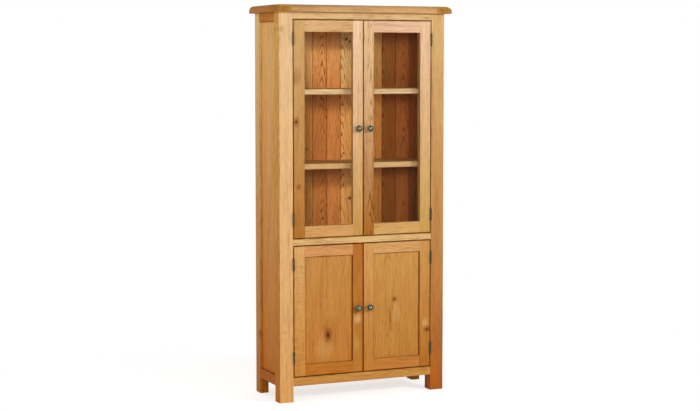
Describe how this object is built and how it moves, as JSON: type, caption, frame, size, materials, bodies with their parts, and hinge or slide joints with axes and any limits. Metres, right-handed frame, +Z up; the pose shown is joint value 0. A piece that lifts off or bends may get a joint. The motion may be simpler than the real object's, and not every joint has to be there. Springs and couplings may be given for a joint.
{
  "type": "glazed display cupboard",
  "caption": "Tall straight oak display cupboard on square legs, with glazed doors over panelled doors, butt hinges, round knobs, shelves and a boarded back.",
  "frame": {"origin": "on the floor, under the centre of the top board", "axes": "+X to the right as seen from the front, +Y to the back, +Z up"},
  "size_m": [0.878, 0.337, 1.8],
  "materials": {
    "oak": "satin varnish",
    "back_oak": "satin varnish",
    "glass": "clear float glass",
    "hinge_metal": "antique bronze",
    "knob_metal": "antique pewter",
    "steel": "zinc plated",
    "catch_plastic": "brown"
  },
  "bodies": {
    "carcass": {"back_boards": "back_oak", "bottom_floor": "oak", "cupboard_shelf": "oak", "front_bottom_rail": "oak", "front_middle_rail": "oak", "front_post_left": "oak", "front_post_right": "oak", "front_top_rail": "oak", "hinge_frame_leaves": "hinge_metal", "hinge_pins": "hinge_metal", "lower_display_shelf": "oak", "magnetic_catches": "catch_plastic", "middle_floor": "oak", "rear_bottom_rail": "oak", "rear_post_left": "oak", "rear_post_right": "oak", "rear_top_rail": "oak", "shelf_bearers": "oak", "side_bottom_rail_left": "oak", "side_bottom_rail_right": "oak", "side_panel_left": "oak", "side_panel_right": "oak", "side_top_rail_left": "oak", "side_top_rail_right": "oak", "top_board": "oak", "upper_display_shelf": "oak"},
    "upper_left_door": {"upper_left_door_bottom_rail": "oak", "upper_left_door_fittings": "steel", "upper_left_door_glass": "glass", "upper_left_door_glazing_beads": "oak", "upper_left_door_hinge_leaves": "hinge_metal", "upper_left_door_hinge_stile": "oak", "upper_left_door_knob": "knob_metal", "upper_left_door_meeting_stile": "oak", "upper_left_door_top_rail": "oak"},
    "upper_right_door": {"upper_right_door_bottom_rail": "oak", "upper_right_door_fittings": "steel", "upper_right_door_glass": "glass", "upper_right_door_glazing_beads": "oak", "upper_right_door_hinge_leaves": "hinge_metal", "upper_right_door_hinge_stile": "oak", "upper_right_door_knob": "knob_metal", "upper_right_door_meeting_stile": "oak", "upper_right_door_top_rail": "oak"},
    "lower_left_door": {"lower_left_door_bottom_rail": "oak", "lower_left_door_fittings": "steel", "lower_left_door_hinge_leaves": "hinge_metal", "lower_left_door_hinge_stile": "oak", "lower_left_door_knob": "knob_metal", "lower_left_door_meeting_stile": "oak", "lower_left_door_panel": "oak", "lower_left_door_top_rail": "oak"},
    "lower_right_door": {"lower_right_door_bottom_rail": "oak", "lower_right_door_fittings": "steel", "lower_right_door_hinge_leaves": "hinge_metal", "lower_right_door_hinge_stile": "oak", "lower_right_door_knob": "knob_metal", "lower_right_door_meeting_stile": "oak", "lower_right_door_panel": "oak", "lower_right_door_top_rail": "oak"}
  },
  "joints": [
    {"name": "upper_left_door_hinge", "type": "hinge", "parent": "carcass", "child": "upper_left_door", "pos_m": [-0.34525, -0.147, 1.24025], "axis": [0, 0, -1], "range_deg": [0, 165]},
    {"name": "upper_right_door_hinge", "type": "hinge", "parent": "carcass", "child": "upper_right_door", "pos_m": [0.34525, -0.147, 1.24025], "axis": [0, 0, 1], "range_deg": [0, 165]},
    {"name": "lower_left_door_hinge", "type": "hinge", "parent": "carcass", "child": "lower_left_door", "pos_m": [-0.34525, -0.147, 0.414], "axis": [0, 0, -1], "range_deg": [0, 165]},
    {"name": "lower_right_door_hinge", "type": "hinge", "parent": "carcass", "child": "lower_right_door", "pos_m": [0.34525, -0.147, 0.414], "axis": [0, 0, 1], "range_deg": [0, 165]}
  ]
}
